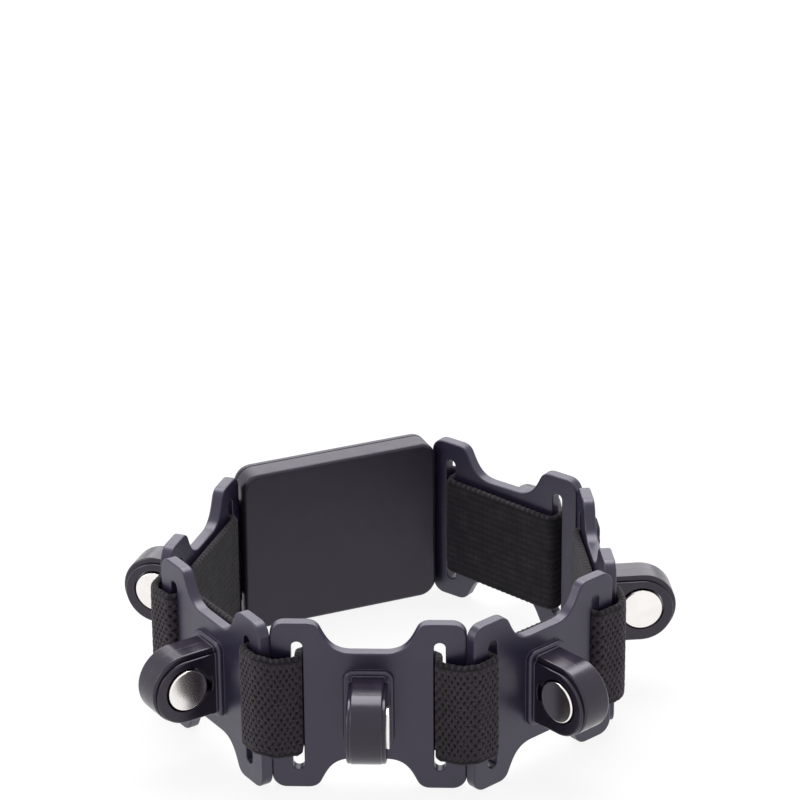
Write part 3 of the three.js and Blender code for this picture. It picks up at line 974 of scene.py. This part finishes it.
# Strap surface
def section():
    """Rows of (side, height, edge, kind) round the strap. The side runs from 1, outside, to
    -1, inside. The edge is 1 at the top edge's crest, -1 at the bottom one's and 0 on the
    faces. The kind is 1 on the outer face, 0 on an edge and -1 on the inner face."""
    half = DRAWN_WIDTH / 2 - STRAP_THICKNESS / 2
    outer_points = math.ceil(2 * half / (PITCH_ACROSS / POINTS_PER_PITCH_ACROSS))
    outer = np.linspace(-half, half, outer_points)
    inner = np.linspace(half, -half, INNER_POINTS)
    edge = np.radians(np.linspace(90, -90, STRAP_EDGE_STEPS + 1))[1:-1]
    rows = [(1.0, z, 0.0, 1) for z in outer]
    rows += [(math.sin(a), half + STRAP_THICKNESS / 2 * math.cos(a), math.cos(a), 0) for a in edge]
    rows += [(-1.0, z, 0.0, -1) for z in inner]
    rows += [(-math.sin(a), -half - STRAP_THICKNESS / 2 * math.cos(a), -math.cos(a), 0)
             for a in edge]
    return np.array(rows).T


def wander(rng, lengths, heights):
    """A smooth random field from -1 to 1 over the strap, one knot each WANDER_PITCH."""
    knots_along = np.arange(lengths[0], lengths[-1] + 2 * WANDER_PITCH, WANDER_PITCH)
    knots_across = np.arange(-STRAP_WIDTH / 2, STRAP_WIDTH / 2 + 2 * WANDER_PITCH, WANDER_PITCH)
    knots = rng.uniform(-1, 1, (len(knots_along), len(knots_across)))
    rows = np.array([np.interp(heights, knots_across, row) for row in knots])
    return np.array([np.interp(lengths, knots_along, column) for column in rows.T]).T


def strap_grid(line, phase, slip):
    """The points of the strap's whole surface, and how dark the weave is painted at each, with
    painted shade in the pits and between the edge's beads.
    """
    side, height, edge, kind = section()
    way = np.gradient(line)
    way /= np.abs(way)
    outward = -1j * way
    rng = np.random.default_rng(WANDER_SEED)
    lengths = phase / (2 * np.pi) * PITCH_ALONG
    astray = wander(rng, lengths, height)
    uneven = wander(rng, lengths, height)
    is_outer = (kind == 1)[None, :]
    is_inner = (kind == -1)[None, :]
    is_edge = (kind == 0)[None, :]
    from_edge = DRAWN_WIDTH / 2 - np.abs(height)
    near_edge = np.clip((from_edge - EDGE_PLAIN) / EDGE_FADE, 0, 1)[None, :]
    hem = np.exp(-((from_edge - HEM_PLACE) / HEM_WIDTH) ** 2)[None, :]

    turn = 2 * np.pi * height[None, :] / PITCH_ACROSS
    angle = phase[:, None] + PIT_WANDER * astray
    slanted = angle + PIT_SLANT * np.sin(turn)
    wave = np.cos(slanted) * np.cos(turn + ROW_WANDER * uneven)
    depth = np.clip((-wave - PIT_START) / (1 - PIT_START), 0, 1) ** PIT_POWER
    pit = depth * (1 + DEPTH_WANDER * uneven)
    rib = np.cos(2 * np.pi * height / RIB_PITCH)[None, :]
    seam = np.cos(angle)
    stitch = STITCH_MAIN * seam + STITCH_SECOND * np.cos(2 * angle + STITCH_WANDER * uneven)

    rise = np.where(is_outer, (-PIT_DEPTH * pit + BUMP_RISE * np.clip(wave, 0, 1)) * near_edge, 0)
    rise = rise - np.where(is_inner, RIB_RISE * (rib + RIB_SEAM * seam), 0)
    bead = BEAD_RISE * stitch * edge[None, :]
    offset = side[None, :] * STRAP_THICKNESS / 2 + rise
    spot = line[:, None] + outward[:, None] * offset
    level = MID_HEIGHT + height[None, :] + bead + slip[:, None]
    points = np.stack([spot.real, spot.imag, level], axis=-1)

    # Painted shade: the pits darken with their depth, and the edge darkens between its beads and
    # lightens on them. The hem, the inner face's ribs and seams and the drift are pattern.
    dark = np.where(is_outer, pit * near_edge + HEM_DARK * hem, 0)
    dark = np.where(is_inner, INNER_DARK + INNER_RIB_DARK * rib + INNER_SEAM_DARK * seam
                    + INNER_HEM_DARK * hem + INNER_WANDER_DARK * uneven, dark)
    dark = np.where(is_edge, EDGE_DARK - STITCH_PAINTED_SHADE * stitch, dark)
    return points, np.clip(dark, 0, 1)


def cloth_places(phase):
    """Where each point lies on the flat strap, with the two faces set apart."""
    side, height = section()[:2]
    travel = phase / np.pi * PITCH_ALONG / 2
    return np.stack(np.broadcast_arrays(
        travel[:, None], height[None, :], np.sign(side)[None, :] * FACES_APART,
    ), axis=-1).astype(np.float32)


def grid_normals(points):
    along = np.gradient(points, axis=0)
    around = np.roll(points, -1, axis=1) - np.roll(points, 1, axis=1)
    normals = np.cross(along, around)
    return normals / np.linalg.norm(normals, axis=-1, keepdims=True)


def strap_piece(name, points, normals, pit, cloth):
    """One closed piece of the strap's surface, shaded with the whole strap's normals."""
    rings, count = points.shape[:2]
    mesh = bpy.data.meshes.new(name)
    index = np.arange(rings * count).reshape(rings, count)
    after = np.roll(index, -1, axis=1)
    quads = np.stack([index[:-1], index[1:], after[1:], after[:-1]], axis=-1).reshape(-1, 4)
    ends = [index[0].tolist(), index[-1][::-1].tolist()]
    mesh.from_pydata((points.reshape(-1, 3) * MM).tolist(), [], quads.tolist() + ends)
    mesh.polygons.foreach_set("use_smooth", [True] * len(mesh.polygons))
    # The pit attribute carries the painted shade of the pits and bead gaps, with the weave's
    # pattern
    mesh.attributes.new("pit", "FLOAT", "POINT").data.foreach_set("value", pit.ravel())
    mesh.attributes.new("cloth", "FLOAT_VECTOR", "POINT").data.foreach_set("vector", cloth.ravel())
    mesh.update()
    mesh.normals_split_custom_set_from_vertices(normals.reshape(-1, 3).tolist())
    mesh.materials.append(elastic)
    return new_object(name, mesh)


def add_strap():
    line, phase, slip, spans = sampled_strap()
    points, pit = strap_grid(line, phase, slip)
    normals = grid_normals(points)
    cloth = cloth_places(phase)

    def cut(name, first, last):
        rows = slice(first, last + 1)
        return strap_piece(name, points[rows], normals[rows], pit[rows], cloth[rows])

    def spot(i):
        return Vector((line[i].real * MM, line[i].imag * MM, MID_HEIGHT * MM))

    def carried(name, part, body, node):
        piece = cut(name, *spans[part])
        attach(piece, body)
        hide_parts(node)

    first, last = spans["tail_right"]
    spans["tail_right"] = (first + math.ceil(TAIL_CLEARANCE / STRAP_STEP), last)
    for number in range(1, LINK_COUNT + 1):
        carried(f"strap_waist_{number}", f"run_{number}", f"holder_{number}",
                f"strap_run_{number}")
    for side in ("left", "right"):
        carried(f"strap_tail_{side}", f"tail_{side}", "case", f"strap_end_{side}")
    carried("strap_arch_7", "bridge_7", "holder_4", "strap_bridge_7")
    chain = ("case", *(f"holder_{number}" for number in LINK_ORDER))
    for step, (parent, child) in enumerate(zip(chain, chain[1:]), start=1):
        gap = f"gap_{step}"
        split = CASE_SPLIT if parent == "case" else LINK_SPLIT
        first, last = spans[f"bridge_{step}"]
        middle = first + (last - first) * split // SPLIT_PARTS
        for word, a, b, low, high in (("start", parent, gap, first, middle),
                                      ("end", gap, child, middle, last)):
            piece = cut(f"strap_arch_{step}_{word}", low, high)
            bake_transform(piece)
            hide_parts(f"strap_bridge_{step}")


# Metal parts that the CAD shapes
def finish_cad_nodes():
    for node, material in (
        ("steel_keeper", steel), ("block_magnet_right", nickel), ("block_magnet_left", nickel),
        ("anchor_bar_right", steel), ("anchor_bar_left", steel),
    ):
        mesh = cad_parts[node].data
        mesh.materials.clear()
        mesh.materials.append(material)


# Stage
def add_world():
    """White where it is seen, reflected or seen through, and softer as a light."""
    world = bpy.data.worlds.new("studio")
    bpy.context.scene.world = world
    nodes = Nodes(world)
    path = nodes.add("ShaderNodeLightPath")
    seen = nodes.math("MAXIMUM", path.outputs["Is Camera Ray"], path.outputs["Is Glossy Ray"])
    seen = nodes.math("MAXIMUM", seen, path.outputs["Is Transmission Ray"])
    soft = nodes.add("ShaderNodeBackground", {"Color": (1, 1, 1, 1), "Strength": SOFT_LIGHT})
    white = nodes.add("ShaderNodeBackground", {"Color": (1, 1, 1, 1), "Strength": WHITE_LIGHT})
    mix = nodes.mix(seen, soft.outputs[0], white.outputs[0])
    nodes.add("ShaderNodeOutputWorld", {"Surface": mix})


def floor_material():
    """Pale, and mostly plain white to the camera, so that only a soft shadow shows."""
    material = bpy.data.materials.new("floor")
    nodes = Nodes(material)
    path = nodes.add("ShaderNodeLightPath")
    direct = nodes.span(path.outputs["Is Camera Ray"], (0.0, 1.0), (0.0, FLOOR_GLOW_SHARE))
    share = nodes.math("MAXIMUM", direct, path.outputs["Is Glossy Ray"])
    tone = (FLOOR_TONE, FLOOR_TONE, FLOOR_TONE, 1)
    pale = nodes.add("ShaderNodeBsdfDiffuse", {"Color": tone})
    glow = nodes.add("ShaderNodeEmission", {"Color": (1, 1, 1, 1), "Strength": FLOOR_GLOW})
    mix = nodes.mix(share, pale.outputs[0], glow.outputs[0])
    nodes.add("ShaderNodeOutputMaterial", {"Surface": mix})
    return material


def add_floor():
    mesh = bpy.data.meshes.new("floor")
    half = FLOOR_HALF
    mesh.from_pydata([(-half, -half, 0), (half, -half, 0), (half, half, 0), (-half, half, 0)],
                     [], [(0, 1, 2, 3)])
    mesh.materials.append(floor_material())
    new_object("floor", mesh)


def add_lamp(name, place, size, power):
    data = bpy.data.lights.new(name, "AREA")
    data.shape = "RECTANGLE"
    data.size, data.size_y = size
    data.energy = power
    lamp = new_object(name, data)
    lamp.location = place
    lamp.rotation_euler = (Vector(LAMP_AIM) - Vector(place)).to_track_quat("-Z", "Y").to_euler()
    lamp.visible_camera = False


add_links()
add_case()
add_strap()
finish_cad_nodes()
add_world()
add_floor()
for lamp in LAMPS:
    add_lamp(**lamp)
bpy.context.scene.view_settings.view_transform = "Standard"
